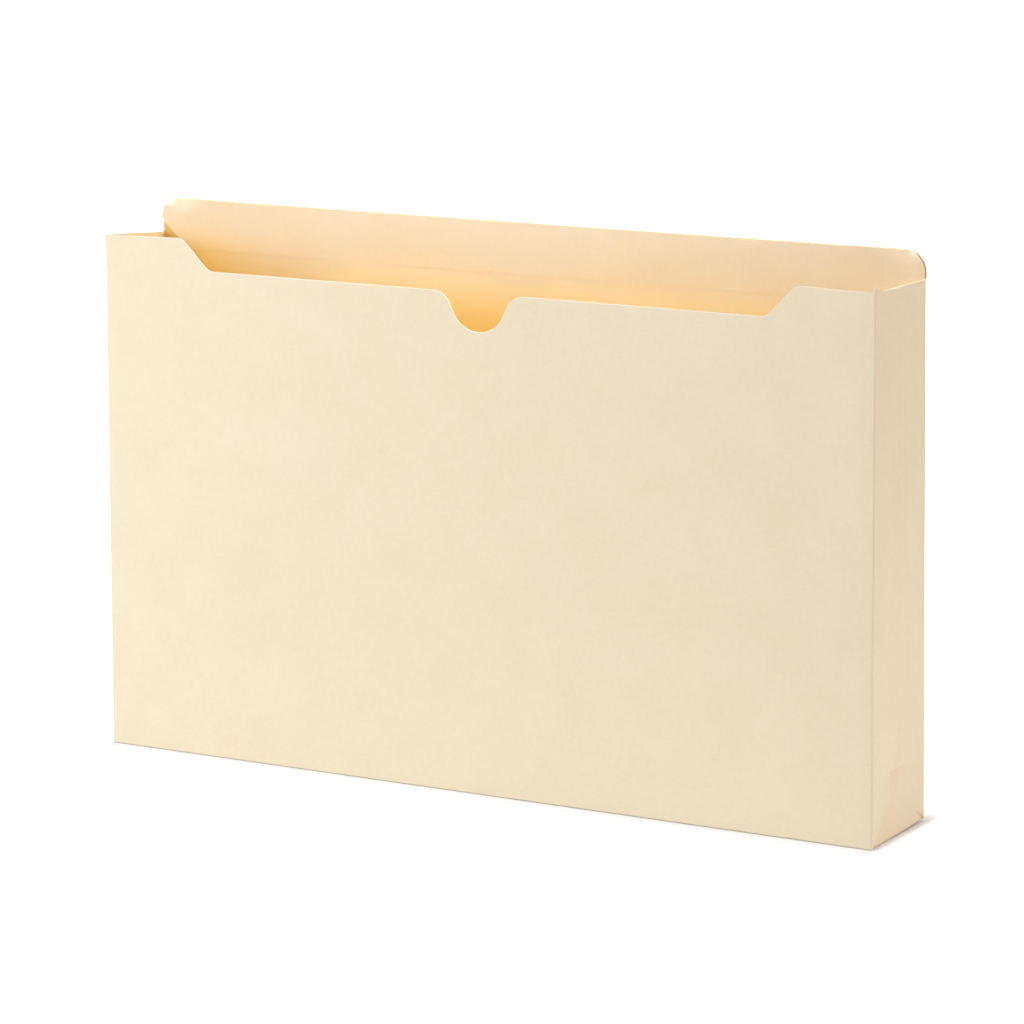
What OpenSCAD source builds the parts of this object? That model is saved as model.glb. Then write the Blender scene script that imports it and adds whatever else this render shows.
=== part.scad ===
// Expanding file jacket of manila card, standing open on its bottom gusset.
// The front looks towards -Y, the width runs along X and the base lies on Z = 0.
// One scored sheet makes the panels, the gussets and the end flaps. Each stretch of card
// between two creases is a piece of its own here, so that the jacket can fold flat.

/* [Jacket] */
// Outside width, over the side gussets
jacket_w = 374.65; // [200:0.05:480]
// Depth of the gussets when the jacket stands open
gusset_d = 50.8; // [30:0.1:90]
// Height of the front and side panels at the side creases
side_h = 228.6; // [150:0.1:300]
// Thickness of the card
card_t = 0.28; // [0.2:0.01:0.5]
// Thickness of a film of glue
glue_t = 0.05; // [0.03:0.01:0.1]

/* [Front cut] */
// Length of each shoulder, from the side crease to the slope
shoulder_w = 38.9; // [15:0.1:60]
// Rise of a shoulder from the side crease to the slope
shoulder_rise = 0.8; // [0:0.1:3]
// Drop from the side panels' top to the cut-down edge
cut_drop = 12.7; // [8:0.1:40]
// Run of the slope from a shoulder down to the cut-down edge
slope_w = 13.7; // [8:0.1:30]
// Rounding at both ends of the slope
slope_r = 6; // [1:0.5:9]
// Radius of the thumb cut
thumb_r = 13.6; // [8:0.1:16]
// Depth of the thumb cut below the cut-down edge
thumb_depth = 17; // [16:0.1:30]
// Rounding where the thumb cut meets the cut-down edge
thumb_edge_r = 9.3; // [5:0.1:15]

/* [Tab] */
// Height of the back panel's tab above the side panels
tab_rise = 12.7; // [11:0.1:30]
// Rounding of the tab's top corners
tab_r = 9.5; // [2:0.1:10.5]
// Reach of the tab's folded-over ply below the side panels' top
tab_ply_drop = 12.7; // [6:0.1:40]
// Run of the taper at each end of the folded-over ply
tab_taper_w = 22; // [6:0.5:40]
// Height of the taper's upper end above the side panels
tab_taper_rise = 1; // [0.5:0.1:1.4]

/* [Side gussets] */
// Reach of the outer ply past the centre crease, at the top
outer_lap_top = 5.1; // [3:0.1:12]
// Reach of the outer ply past the centre crease, at the window
outer_lap_base = 13.4; // [3:0.1:14]
// Reach of the inner ply past the centre crease
inner_lap = 8.6; // [4:0.1:13]
// Distance from the front face to the front edge of the outer ply's window
window_s = 16.2; // [6:0.1:22]
// Height of the window's top edge above the mitred corners
window_rise = 1; // [0.5:0.1:10]
// Height of the end flaps' top edge above the mitred corners
end_flap_rise = 12.5; // [3:0.1:40]

/* [Fit] */
// Clearance between cards that fold past one another
fold_gap = 0.1; // [0.05:0.01:0.3]
// Margin of bare card round a film of glue
glue_margin = 1.5; // [0.5:0.1:2]

/* [Hidden] */
$fn = 96;

manila = "#F3E4C6";
manila_inside = "#F3D2A0";
dried_glue = "#EFE6CF";

right = 1;
left = -1;
rear = 1;
front = -1;

half_w = jacket_w / 2;
half_d = gusset_d / 2;
back_h = side_h + tab_rise;
cut_h = side_h - cut_drop;

// Inner faces of the front and back panels
wall_y = half_d - card_t;
// Inner faces of the side plies, from the outer ply inwards
outer_x = half_w - card_t;
film_x = outer_x - glue_t;
inner_x = film_x - card_t;
end_flap_x = inner_x - card_t;
// The creases turn on lines this far inside a panel, which leaves room for a ply and its glue
crease_in = card_t + glue_t + fold_gap;
crease_y = wall_y - crease_in;
// The side plies are mitred at 45 degrees, so that the bottom can fold up past them
mitre_z = card_t + fold_gap;
mitre_top = mitre_z + wall_y;
window_h = mitre_top + window_rise;
end_flap_h = mitre_top + end_flap_rise;
// A pleat keeps clear of the mitre's slope by this much along Y and Z, and of its twin by the fold gap
pleat_gap = 2 * fold_gap;
pleat_foot = fold_gap / 2;

// Corner points of the front panel's top edge
shoulder_x = half_w - shoulder_w;
shoulder_h = side_h + shoulder_rise;
cut_x = shoulder_x - slope_w;

// Thumb cut: a round end, flared into the cut-down edge by two roundings
thumb_z = cut_h - thumb_depth + thumb_r;
flare_z = cut_h - thumb_edge_r;
flare_x = sqrt(pow(thumb_r + thumb_edge_r, 2) - pow(flare_z - thumb_z, 2));
flare_share = thumb_r / (thumb_r + thumb_edge_r);
meet_x = flare_x * flare_share;
meet_z = thumb_z + (flare_z - thumb_z) * flare_share;

function unit(v) = v / norm(v);
function mitre_at(y) = mitre_z + wall_y - abs(y);
function mirrored(points) = [for (p = points) [-p.x, p.y]];

// Sliver between a sharp corner and the circle that rounds it
module corner_sliver(before, corner, after, r) {
    u = unit(before - corner);
    v = unit(after - corner);
    half_angle = acos(u * v) / 2;
    reach = r / tan(half_angle);
    difference() {
        polygon([corner + u * reach, corner, corner + v * reach]);
        translate(corner + unit(u + v) * r / sin(half_angle)) circle(r);
    }
}

// An upright sheet of card across the width, with its rear face at y
module cross_sheet(y, thickness) {
    translate([0, y, 0]) rotate([90, 0, 0]) linear_extrude(thickness) children();
}

// An upright sheet along the depth, with its inner face at x, on the right or the left
module side_sheet(side, x, thickness, points) {
    mirror([side == left ? 1 : 0, 0, 0])
        translate([x, 0, 0]) rotate([90, 0, 90]) linear_extrude(thickness) polygon(points);
}

module tab_top(bottom_points) {
    top_right = [half_w, back_h];
    top_left = [-half_w, back_h];
    difference() {
        polygon(concat(bottom_points, [top_right, top_left]));
        corner_sliver([half_w, 0], top_right, top_left, tab_r);
        corner_sliver([-half_w, 0], top_left, top_right, tab_r);
    }
}

module thumb_cut() {
    difference() {
        union() {
            translate([0, thumb_z]) circle(thumb_r);
            polygon([
                [-flare_x, cut_h], [-meet_x, meet_z], [meet_x, meet_z],
                [flare_x, cut_h], [flare_x, side_h], [-flare_x, side_h]
            ]);
        }
        for (x = [-flare_x, flare_x]) translate([x, flare_z]) circle(thumb_edge_r);
    }
}

// What is cut down between the shoulders, rounded where its slopes meet its lower edge
module front_cut() {
    half = [[cut_x, cut_h], [shoulder_x, shoulder_h], [shoulder_x, back_h]];
    difference() {
        polygon(concat(half, mirrored([half[2], half[1], half[0]])));
        for (m = [0, 1]) mirror([m, 0]) corner_sliver(half[1], half[0], [0, cut_h], slope_r);
    }
}

module front_outline() {
    half = [[half_w, 0], [half_w, side_h], [shoulder_x, shoulder_h]];
    difference() {
        polygon(concat(half, mirrored([half[2], half[1], half[0]])));
        for (m = [0, 1]) mirror([m, 0]) corner_sliver(half[1], half[2], [cut_x, cut_h], slope_r);
        front_cut();
        thumb_cut();
    }
}

module back_panel() {
    color(manila) cross_sheet(half_d, card_t) tab_top([[-half_w, 0], [half_w, 0]]);
}

module tab_ply() {
    ply_h = side_h - tab_ply_drop;
    taper_h = side_h + tab_taper_rise;
    end_x = half_w - tab_taper_w;
    color(manila_inside) cross_sheet(wall_y - glue_t, card_t)
        tab_top([[-half_w, taper_h], [-end_x, ply_h], [end_x, ply_h], [half_w, taper_h]]);
}

module tab_glue() {
    x = half_w - tab_taper_w - glue_margin;
    z = side_h - tab_ply_drop + glue_margin;
    color(dried_glue) cross_sheet(wall_y, glue_t)
        translate([-x, z]) square([2 * x, back_h - glue_margin - z]);
}

module front_panel() {
    color(manila) cross_sheet(-wall_y, card_t) front_outline();
}

// The bottom is scored along its middle; each half runs from a panel to that crease
module bottom_half(y) {
    color(manila) translate([-half_w, y, 0]) cube([jacket_w, wall_y, card_t]);
}

// Outer ply from the front crease to the centre crease, with a window above its mitre
module front_flap(side) {
    window_y = window_s - half_d;
    color(manila) side_sheet(side, outer_x, card_t, [
        [-wall_y, mitre_z], [window_y, mitre_at(window_y)], [window_y, window_h],
        [0, window_h], [0, side_h], [-wall_y, side_h]
    ]);
}

// Outer ply past the centre crease, with a slanted free edge
module front_lap(side) {
    color(manila) side_sheet(side, outer_x, card_t, [
        [0, window_h], [outer_lap_base, window_h], [outer_lap_top, side_h], [0, side_h]
    ]);
}

// Inner ply from the back crease to the centre crease
module rear_flap(side) {
    color(manila_inside) side_sheet(side, inner_x, card_t, [
        [0, mitre_top], [wall_y, mitre_z], [wall_y, side_h], [0, side_h]
    ]);
}

// Inner ply past the centre crease
module rear_lap(side) {
    color(manila_inside) side_sheet(side, inner_x, card_t, [
        [-inner_lap, mitre_top], [0, mitre_top], [0, side_h], [-inner_lap, side_h]
    ]);
}

// Glue between the outer ply and the inner ply's lap
module front_glue(side) {
    color(dried_glue) side_sheet(side, film_x, glue_t, [
        [glue_margin - inner_lap, window_h + glue_margin], [-glue_margin, window_h + glue_margin],
        [-glue_margin, side_h - glue_margin], [glue_margin - inner_lap, side_h - glue_margin]
    ]);
}

// Glue between the inner ply and the outer ply's lap
module rear_glue(side) {
    color(dried_glue) side_sheet(side, film_x, glue_t, [
        [0, window_h + glue_margin], [outer_lap_base - glue_margin, window_h + glue_margin],
        [outer_lap_top - glue_margin, side_h - glue_margin], [0, side_h - glue_margin]
    ]);
}

// The bottom's end flap stands up inside the side. Above the mitre it is bonded to the plies.
module end_flap(side, half) {
    points = [[crease_y, mitre_at(crease_y)], [crease_y, end_flap_h], [0, end_flap_h], [0, mitre_top]];
    color(manila_inside) side_sheet(side, end_flap_x, card_t, half == rear ? points : mirrored(points));
}

// Below the mitre the end flap is a loose triangle, which pleats as the jacket folds
module pleat(side, half) {
    points = [
        [pleat_foot, mitre_z], [crease_y - pleat_gap, mitre_z], [pleat_foot, mitre_at(pleat_foot) - pleat_gap]
    ];
    color(manila_inside) side_sheet(side, end_flap_x, card_t, half == rear ? points : mirrored(points));
}

back_panel();
tab_ply();
tab_glue();
front_panel();
bottom_half(0);  // bottom_rear
bottom_half(-wall_y);  // bottom_front

front_flap(right);  // right_front_flap
front_lap(right);  // right_front_lap
rear_flap(right);  // right_rear_flap
rear_lap(right);  // right_rear_lap
front_glue(right);  // right_front_glue
rear_glue(right);  // right_rear_glue
end_flap(right, front);  // right_front_end_flap
end_flap(right, rear);  // right_rear_end_flap
pleat(right, front);  // right_front_pleat
pleat(right, rear);  // right_rear_pleat

front_flap(left);  // left_front_flap
front_lap(left);  // left_front_lap
rear_flap(left);  // left_rear_flap
rear_lap(left);  // left_rear_lap
front_glue(left);  // left_front_glue
rear_glue(left);  // left_rear_glue
end_flap(left, front);  // left_front_end_flap
end_flap(left, rear);  // left_rear_end_flap
pleat(left, front);  // left_front_pleat
pleat(left, rear);  // left_rear_pleat
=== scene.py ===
import math

import bpy
import numpy as np
from mathutils import Matrix, Vector
from mathutils.geometry import delaunay_2d_cdt


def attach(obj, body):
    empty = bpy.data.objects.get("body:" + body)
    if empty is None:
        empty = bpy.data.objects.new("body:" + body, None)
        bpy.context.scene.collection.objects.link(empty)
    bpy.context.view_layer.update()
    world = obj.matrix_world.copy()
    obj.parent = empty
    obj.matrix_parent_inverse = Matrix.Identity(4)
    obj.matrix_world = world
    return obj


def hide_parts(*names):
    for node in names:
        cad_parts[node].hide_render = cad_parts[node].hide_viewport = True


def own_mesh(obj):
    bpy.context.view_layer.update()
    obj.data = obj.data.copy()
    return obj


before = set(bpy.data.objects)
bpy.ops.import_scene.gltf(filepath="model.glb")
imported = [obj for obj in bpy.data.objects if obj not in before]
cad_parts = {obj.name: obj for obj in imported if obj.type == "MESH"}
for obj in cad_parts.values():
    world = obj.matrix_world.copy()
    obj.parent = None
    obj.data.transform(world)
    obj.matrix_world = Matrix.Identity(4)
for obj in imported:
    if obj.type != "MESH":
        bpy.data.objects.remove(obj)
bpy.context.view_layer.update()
print("frame loaded, nodes:", len(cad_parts))

mm = 0.001

# sizes that every piece shares, in millimetres
jacket = {
    "halfWidth": 187.325,
    "halfDepth": 25.4,
    "sideHeight": 228.6,
    "tabHeight": 240.8,
    "card": 0.28,
    "sideCrease": 0.9,      # outer radius of the upright creases
    "baseCrease": 0.8,      # outer radius of the creases along the base
    "heldWidth": 60.0,      # the creases hold a panel flat over about this width
    "lean": 3.45,           # how far each big panel leans inwards at the sides' top
    "bow": 1.1,             # how much further its middle sinks in there
    "bowPower": 4.0,        # how suddenly that stops near the ends
    "leftDrop": 0.4,        # how much lower the back stands at its left end
    "leftPinch": 1.5,       # how far the left end leans towards the middle at the top of the back
    "rightPinch": 2.1,      # and the right end at the top of the front
    "pinchFrom": 0.75,      # share of the half width from which an end leans so
    "rearLift": 1.2,        # how far the base's back corners stand off the floor
    "liftHeight": 80.0,     # and the height at which that has faded out
    "mitreFoot": 0.38,      # height of the lower ends of the sides' mitres
    "foldJoint": "bottom_centre_fold",
}
halfWidth = jacket["halfWidth"]
halfDepth = jacket["halfDepth"]
sideHeight = jacket["sideHeight"]
tabHeight = jacket["tabHeight"]
card = jacket["card"]
sideCrease = jacket["sideCrease"]
baseCrease = jacket["baseCrease"]
heldWidth = jacket["heldWidth"]
wallY = halfDepth - card


def linear(hexColour):
    parts = [int(hexColour[i:i + 2], 16) / 255 for i in (1, 3, 5)]
    return tuple(c / 12.92 if c <= 0.04045 else ((c + 0.055) / 1.055) ** 2.4 for c in parts) + (1.0,)


def addNode(tree, kind, links=None, **settings):
    # a link comes from an output, or from a node's first output
    node = tree.nodes.new(kind)
    for key, value in settings.items():
        if key.startswith("in_"):
            name = key[3:]
            socket = node.inputs[int(name)] if name.isdigit() else node.inputs[name.replace("_", " ")]
            socket.default_value = value
        else:
            setattr(node, key, value)
    for socket, source in (links or {}).items():
        output = source.outputs[0] if isinstance(source, bpy.types.Node) else source
        tree.links.new(output, node.inputs[socket])
    return node


def smooth(t):
    t = min(1.0, max(0.0, t))
    return t * t * (3 - 2 * t)


# Camera: the photograph's viewing angle, a long lens from about two metres

cameraSettings = {
    "azimuth": 29.991,
    "elevation": 11.528,
    "roll": -0.432,
    "target": (4.827, 0.0, 118.802),
    "distance": 1945.08,
    "focalPixels": 4565.96,
    "imageWidth": 1024,
    "sensorWidth": 36,
    "clip": (0.05, 50),
}


def makeCamera(s):
    a, e, r = (math.radians(s[k]) for k in ("azimuth", "elevation", "roll"))
    back = Vector((math.sin(a) * math.cos(e), -math.cos(a) * math.cos(e), math.sin(e)))
    level = Vector((math.cos(a), math.sin(a), 0))
    lift = back.cross(level)
    right = level * math.cos(r) + lift * math.sin(r)
    up = lift * math.cos(r) - level * math.sin(r)
    data = bpy.data.cameras.new("camera")
    data.sensor_width = s["sensorWidth"]
    data.sensor_fit = "HORIZONTAL"
    data.lens = s["focalPixels"] / s["imageWidth"] * data.sensor_width
    data.clip_start, data.clip_end = s["clip"]
    camera = bpy.data.objects.new("camera", data)
    bpy.context.scene.collection.objects.link(camera)
    place = Vector(s["target"]) * mm + back * s["distance"] * mm
    camera.matrix_world = Matrix.Translation(place) @ Matrix((right, up, back)).transposed().to_4x4()
    bpy.context.scene.camera = camera


makeCamera(cameraSettings)
print("camera set")


# Materials

cardLooks = {
    "face": "#F7EBD2",
    "faceDeep": "#F1E3C7",
    "inside": "#F8EBD5",
    "insideDeep": "#F5E4C8",
    # pale cut edge, and the colour of the painted highlight along the cut edges
    "edge": "#FDF5E6",
    # colour of the painted shade on the score lines in the creases, and of the painted shade inside the
    # pocket
    "scoreShade": "#DCAE68",
    "paintedWarmth": "#F3CE9C",     # painted warm shade in the recess at the foot of each side, and painted warm light on the base's rolled ends
    "glow": "#F7D98A",      # painted warm light, where light has passed through the card or from wall to wall
    "cloudMm": 26.0,        # size of the faint clouds that the pulp leaves
    "flockMm": 2.6,         # size of a flock of fibres
    "fibreMm": (0.5, 2.2),  # a fibre's width and length, drawn coarser than life so that it shows
    "toneRange": (0.9, 2.1),    # sum of the three patterns at the light and at the deep colour
    "tooth": 0.12,          # strength of the surface's tooth, and its height
    "toothMm": 0.05,
    "roughness": 0.72,
    "ior": 1.47,
    "specular": 0.28,
}
glueLooks = {
    "light": "#EFE6CF",
    "deep": "#DDCFAE",
    "runMm": 3.0,           # size of the runs in the film
    "roughness": 0.45,
    "ior": 1.47,
}


def cardMaterial(name, light, deep, tint, mark):
    s = cardLooks
    material = bpy.data.materials.new(name)
    material.use_nodes = True
    tree = material.node_tree
    tree.nodes.clear()
    where = addNode(tree, "ShaderNodeTexCoord").outputs["Object"]
    clouds = addNode(tree, "ShaderNodeTexNoise", {"Vector": where},
                     in_Scale=1 / (s["cloudMm"] * mm), in_Detail=2.0, in_Roughness=0.5)
    flocks = addNode(tree, "ShaderNodeTexNoise", {"Vector": where},
                     in_Scale=1 / (s["flockMm"] * mm), in_Detail=3.0, in_Roughness=0.6)
    across, along = (1 / (size * mm) for size in s["fibreMm"])
    grain = addNode(tree, "ShaderNodeMapping", {"Vector": where}, in_Scale=(along, along, across))
    fibres = addNode(tree, "ShaderNodeTexNoise", {"Vector": grain},
                     in_Scale=1.0, in_Detail=2.0, in_Roughness=0.55)
    blend = addNode(tree, "ShaderNodeMath", {0: clouds.outputs["Fac"], 1: flocks.outputs["Fac"]},
                    operation="ADD")
    tone = addNode(tree, "ShaderNodeMath", {0: blend, 1: fibres.outputs["Fac"]}, operation="ADD")
    share = addNode(tree, "ShaderNodeMapRange", {"Value": tone}, in_To_Min=0.0, in_To_Max=1.0,
                    in_From_Min=s["toneRange"][0], in_From_Max=s["toneRange"][1])
    pulp = addNode(tree, "ShaderNodeMix", {"Factor": share}, data_type="RGBA")
    pulp.inputs[6].default_value = linear(s[light])
    pulp.inputs[7].default_value = linear(s[deep])
    colour = pulp.outputs[2]
    # layers of painted light and shade: a warm tint, score lines and painted shade, and a painted highlight
    # along the cut edges
    for attribute, paint in ((tint, tint), (mark, "scoreShade"), ("paintedEdgeHighlight", "edge")):
        amount = addNode(tree, "ShaderNodeAttribute", attribute_name=attribute)
        layer = addNode(tree, "ShaderNodeMix", {"Factor": amount.outputs["Fac"], 6: colour}, data_type="RGBA")
        layer.inputs[7].default_value = linear(s[paint])
        colour = layer.outputs[2]
    tooth = addNode(tree, "ShaderNodeBump", {"Height": tone},
                    in_Strength=s["tooth"], in_Distance=s["toothMm"] * mm)
    surface = addNode(tree, "ShaderNodeBsdfPrincipled", {"Base Color": colour, "Normal": tooth},
                      in_Roughness=s["roughness"], in_IOR=s["ior"], in_Specular_IOR_Level=s["specular"])
    addNode(tree, "ShaderNodeOutputMaterial", {"Surface": surface})
    return material


def glueMaterial(s):
    material = bpy.data.materials.new("driedGlue")
    material.use_nodes = True
    tree = material.node_tree
    tree.nodes.clear()
    where = addNode(tree, "ShaderNodeTexCoord").outputs["Object"]
    runs = addNode(tree, "ShaderNodeTexNoise", {"Vector": where},
                   in_Scale=1 / (s["runMm"] * mm), in_Detail=3.0)
    tint = addNode(tree, "ShaderNodeMix", {"Factor": runs.outputs["Fac"]}, data_type="RGBA")
    tint.inputs[6].default_value = linear(s["light"])
    tint.inputs[7].default_value = linear(s["deep"])
    surface = addNode(tree, "ShaderNodeBsdfPrincipled", {"Base Color": tint.outputs[2]},
                      in_Roughness=s["roughness"], in_IOR=s["ior"])
    addNode(tree, "ShaderNodeOutputMaterial", {"Surface": surface})
    return material


# uncoated manila card, calendered: matt, faintly cloudy where the pulp is uneven, fibres show in raking
# light; painted warm shade in the recesses and painted shade in the creases
manilaFace = cardMaterial("manilaCardFace", "face", "faceDeep", "paintedWarmth", "scoreShade")
# the same card on the faces that look into the pocket, painted with the warm light that passes between its
# walls and with painted shade
manilaInside = cardMaterial("manilaCardInside", "inside", "insideDeep", "glow", "shade")
# die-cut edge of the card: bare fibre, paler than the calendered faces, and paler still for a painted
# highlight
manilaEdge = cardMaterial("manilaCardCutEdge", "edge", "face", "paintedWarmth", "scoreShade")
# dried white paper glue: a dull, slightly yellowed film
driedGlue = glueMaterial(glueLooks)
print("materials made")


# One tree turns the inner surface of a sheet into card: thickness, waves, lean, and a material for each face

def makeCardTree():
    tree = bpy.data.node_groups.new("cardSheet", "GeometryNodeTree")
    sockets = tree.interface
    sockets.new_socket("Geometry", in_out="INPUT", socket_type="NodeSocketGeometry")
    for name in ("Thickness", "Wave Height", "Wave Length", "Seed", "Lean", "Bow", "Left Drop", "Left Pinch",
                 "Right Pinch", "Rear Lift"):
        sockets.new_socket(name, in_out="INPUT", socket_type="NodeSocketFloat")
    for name in ("Wave Axis", "Outward"):
        sockets.new_socket(name, in_out="INPUT", socket_type="NodeSocketVector")
    for name in ("Outer Face", "Inner Face", "Cut Edge"):
        sockets.new_socket(name, in_out="INPUT", socket_type="NodeSocketMaterial")
    sockets.new_socket("Geometry", in_out="OUTPUT", socket_type="NodeSocketGeometry")
    given = addNode(tree, "NodeGroupInput").outputs

    grown = addNode(tree, "GeometryNodeExtrudeMesh",
                    {"Mesh": given["Geometry"], "Offset Scale": given["Thickness"]},
                    mode="FACES", in_Individual=False)
    turned = addNode(tree, "GeometryNodeFlipFaces", {"Mesh": given["Geometry"]})
    both = addNode(tree, "GeometryNodeJoinGeometry")
    tree.links.new(grown.outputs["Mesh"], both.inputs[0])
    tree.links.new(turned.outputs["Mesh"], both.inputs[0])
    welded = addNode(tree, "GeometryNodeMergeByDistance", {"Geometry": both}, in_Distance=1e-6)

    # free edges are pressed thinner
    pressed = addNode(tree, "GeometryNodeInputNamedAttribute", in_Name="pressed", data_type="FLOAT")
    lost = addNode(tree, "ShaderNodeMath", {0: pressed, 1: given["Thickness"]}, operation="MULTIPLY")
    inwards = addNode(tree, "ShaderNodeMath", {0: lost}, operation="MULTIPLY", in_1=-1.0)
    dent = addNode(tree, "ShaderNodeVectorMath", {0: given["Outward"], "Scale": inwards},
                   operation="SCALE")
    thinned = addNode(tree, "GeometryNodeSetPosition", {
        "Geometry": welded, "Selection": grown.outputs["Top"], "Offset": dent})

    # slack waves, where the creases don't hold the sheet
    place = addNode(tree, "GeometryNodeInputPosition")
    slack = addNode(tree, "GeometryNodeInputNamedAttribute", in_Name="slack", data_type="FLOAT")
    pitch = addNode(tree, "ShaderNodeMath", {1: given["Wave Length"]}, operation="DIVIDE", in_0=1.0)
    noise = addNode(tree, "ShaderNodeTexNoise", {"Vector": place, "W": given["Seed"], "Scale": pitch},
                    noise_dimensions="4D", in_Detail=1.0, in_Roughness=0.4)
    level = addNode(tree, "ShaderNodeMath", {0: noise.outputs["Fac"]}, operation="SUBTRACT", in_1=0.5)
    height = addNode(tree, "ShaderNodeMath", {0: level, 1: given["Wave Height"]}, operation="MULTIPLY")
    held = addNode(tree, "ShaderNodeMath", {0: height, 1: slack}, operation="MULTIPLY")
    wave = addNode(tree, "ShaderNodeVectorMath", {0: given["Wave Axis"], "Scale": held},
                   operation="SCALE")
    waved = addNode(tree, "GeometryNodeSetPosition",
                    {"Geometry": thinned, "Offset": wave})

    # lean and bow of the panels
    spot = addNode(tree, "GeometryNodeInputPosition")
    axes = addNode(tree, "ShaderNodeSeparateXYZ", {0: spot}).outputs
    depth = addNode(tree, "ShaderNodeMath", {0: axes["Y"], 1: axes["Z"]}, operation="MULTIPLY")
    across = addNode(tree, "ShaderNodeMath", {0: axes["X"]}, operation="DIVIDE", in_1=halfWidth * mm)
    power = addNode(tree, "ShaderNodeMath", {0: across}, operation="POWER", in_1=jacket["bowPower"])
    middle = addNode(tree, "ShaderNodeMath", {1: power}, operation="SUBTRACT", in_0=1.0, use_clamp=True)
    sag = addNode(tree, "ShaderNodeMath", {0: middle, 1: given["Bow"], 2: given["Lean"]},
                  operation="MULTIPLY_ADD")
    inward = addNode(tree, "ShaderNodeMath", {0: depth, 1: sag}, operation="MULTIPLY")
    perArea = -1 / (halfDepth * mm * sideHeight * mm)
    leaned = addNode(tree, "ShaderNodeMath", {0: inward}, operation="MULTIPLY", in_1=perArea)

    # the back's lower left end, and the base's lifted back corners
    leftness = addNode(tree, "ShaderNodeMapRange", {"Value": axes["X"]},
                       in_From_Min=halfWidth * mm, in_From_Max=-halfWidth * mm)
    backness = addNode(tree, "ShaderNodeMapRange", {"Value": axes["Y"]},
                       in_From_Min=-halfDepth * mm, in_From_Max=halfDepth * mm)
    corner = addNode(tree, "ShaderNodeMath", {0: leftness, 1: backness},
                     operation="MULTIPLY")
    raised = addNode(tree, "ShaderNodeMath", {0: corner, 1: axes["Z"]}, operation="MULTIPLY")
    sunk = addNode(tree, "ShaderNodeMath", {0: raised, 1: given["Left Drop"]}, operation="MULTIPLY")
    lowered = addNode(tree, "ShaderNodeMath", {0: sunk}, operation="MULTIPLY",
                      in_1=-1 / (tabHeight * mm))
    low = addNode(tree, "ShaderNodeMapRange", {"Value": axes["Z"]},
                  in_From_Max=jacket["liftHeight"] * mm, in_To_Min=1.0, in_To_Max=0.0)
    rear = addNode(tree, "ShaderNodeMath", {0: backness}, operation="POWER", in_1=2.0)
    ends = addNode(tree, "ShaderNodeMapRange", {"Value": middle}, in_From_Min=1.0, in_From_Max=0.0)
    lowRear = addNode(tree, "ShaderNodeMath", {0: low, 1: rear}, operation="MULTIPLY")
    heel = addNode(tree, "ShaderNodeMath", {0: lowRear, 1: ends}, operation="MULTIPLY")
    lifted = addNode(tree, "ShaderNodeMath", {0: heel, 1: given["Rear Lift"], 2: lowered},
                     operation="MULTIPLY_ADD")
    frontness = addNode(tree, "ShaderNodeMath", {1: backness}, operation="SUBTRACT", in_0=1.0)

    def pinch(sign, wall, amount):
        end = addNode(tree, "ShaderNodeMapRange", {"Value": axes["X"]}, interpolation_type="SMOOTHSTEP",
                      in_From_Min=sign * jacket["pinchFrom"] * halfWidth * mm,
                      in_From_Max=sign * halfWidth * mm)
        share = addNode(tree, "ShaderNodeMath", {0: end, 1: wall}, operation="MULTIPLY")
        climb = addNode(tree, "ShaderNodeMath", {0: share, 1: axes["Z"]}, operation="MULTIPLY")
        pulled = addNode(tree, "ShaderNodeMath", {0: climb, 1: given[amount]}, operation="MULTIPLY")
        return addNode(tree, "ShaderNodeMath", {0: pulled}, operation="MULTIPLY",
                       in_1=-sign / (sideHeight * mm))

    drawn = addNode(tree, "ShaderNodeMath", {
        0: pinch(1, frontness, "Right Pinch"), 1: pinch(-1, backness, "Left Pinch")}, operation="ADD")
    shift = addNode(tree, "ShaderNodeCombineXYZ",
                    {"X": drawn, "Y": leaned, "Z": lifted})
    settled = addNode(tree, "GeometryNodeSetPosition", {"Geometry": waved, "Offset": shift})

    # crisp cut edges, and a material for each face
    solid = addNode(tree, "GeometryNodeRealizeInstances", {"Geometry": settled})
    rounded = addNode(tree, "GeometryNodeSetShadeSmooth", {"Geometry": solid}, in_Shade_Smooth=True)
    crisp = addNode(tree, "GeometryNodeSetShadeSmooth",
                    {"Geometry": rounded, "Selection": grown.outputs["Side"]},
                    domain="EDGE", in_Shade_Smooth=False)
    inner = addNode(tree, "GeometryNodeSetMaterial",
                    {"Geometry": crisp, "Material": given["Inner Face"]})
    outer = addNode(tree, "GeometryNodeSetMaterial", {
        "Geometry": inner, "Selection": grown.outputs["Top"], "Material": given["Outer Face"]})
    edged = addNode(tree, "GeometryNodeSetMaterial", {
        "Geometry": outer, "Selection": grown.outputs["Side"], "Material": given["Cut Edge"]})
    addNode(tree, "NodeGroupOutput", {0: edged})
    return tree


cardTree = makeCardTree()


# Flat sheets: an outline and a grid of levels become a mesh, which a place function bends into shape

sheetGrid = {
    "pointGap": 0.02,       # border points that come closer than this are left out
    "edgeBand": 0.5,        # a narrow band inside the cut edge, for the painted highlight along it
    "bandHold": 0.8,        # share of that band which its points keep from the border
    "gridHold": 1.4,        # and the number of bands which the grid's points keep from it
    "panelStep": 8.0,       # grid of the big panels
}


def levels(low, high, step):
    count = max(1, round((high - low) / step))
    return [low + (high - low) * i / count for i in range(count + 1)]


def bendLevels(start, arc, turns=8):
    return [start + arc * i / turns for i in range(turns + 1)]


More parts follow.
